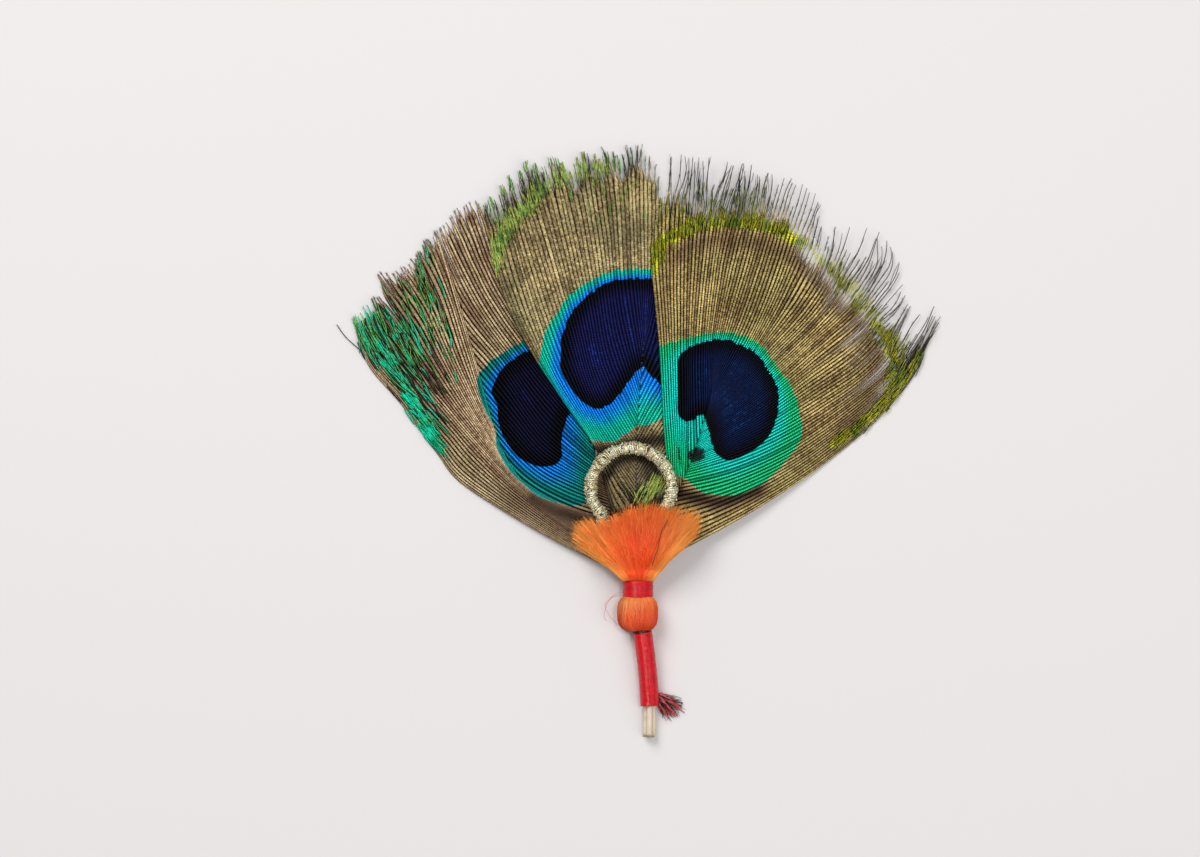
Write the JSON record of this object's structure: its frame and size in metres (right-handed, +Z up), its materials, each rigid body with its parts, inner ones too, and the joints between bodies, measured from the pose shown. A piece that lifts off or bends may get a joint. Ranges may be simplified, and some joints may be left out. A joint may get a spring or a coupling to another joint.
{
  "type": "peacock feather fan ornament",
  "caption": "Flat fan of trimmed peacock eye feathers, tied with thread and dressed with a gold cord loop, a silk tuft and a thread ball, on a wrapped stem.",
  "frame": {"origin": "On the ground under the thread ball, where the tied neck rests", "axes": "+Y points from the tie to the fan's rim, +X to the right of the fan seen from its face, +Z up out of the face"},
  "size_m": [0.0983, 0.0986, 0.0068],
  "materials": {
    "left_vane": "olive bronze feather barbs with a blue-green eye, satin sheen",
    "middle_vane": "olive gold feather barbs with a turquoise and navy eye, satin sheen",
    "right_vane": "golden brown feather barbs with a green and navy eye, satin sheen",
    "gold_cord": "pale gold bullion cord, sparkling coiled metal thread",
    "orange_silk": "combed silk fibres, soft sheen",
    "red_band_thread": "tight shiny silk thread",
    "orange_thread": "soft floss wound lengthwise",
    "red_stem_thread": "close turns of shiny silk thread",
    "frayed_thread": "loose frayed ends of red and dark green thread"
  },
  "bodies": {
    "root": {"feather_left": "left_vane", "feather_middle": "middle_vane", "feather_right": "right_vane", "gold_cord_loop": "gold_cord", "silk_tuft": "orange_silk", "neck_band": "red_band_thread", "thread_ball": "orange_thread", "stem_wrap": "red_stem_thread", "thread_ends": "frayed_thread"}
  },
  "joints": []
}
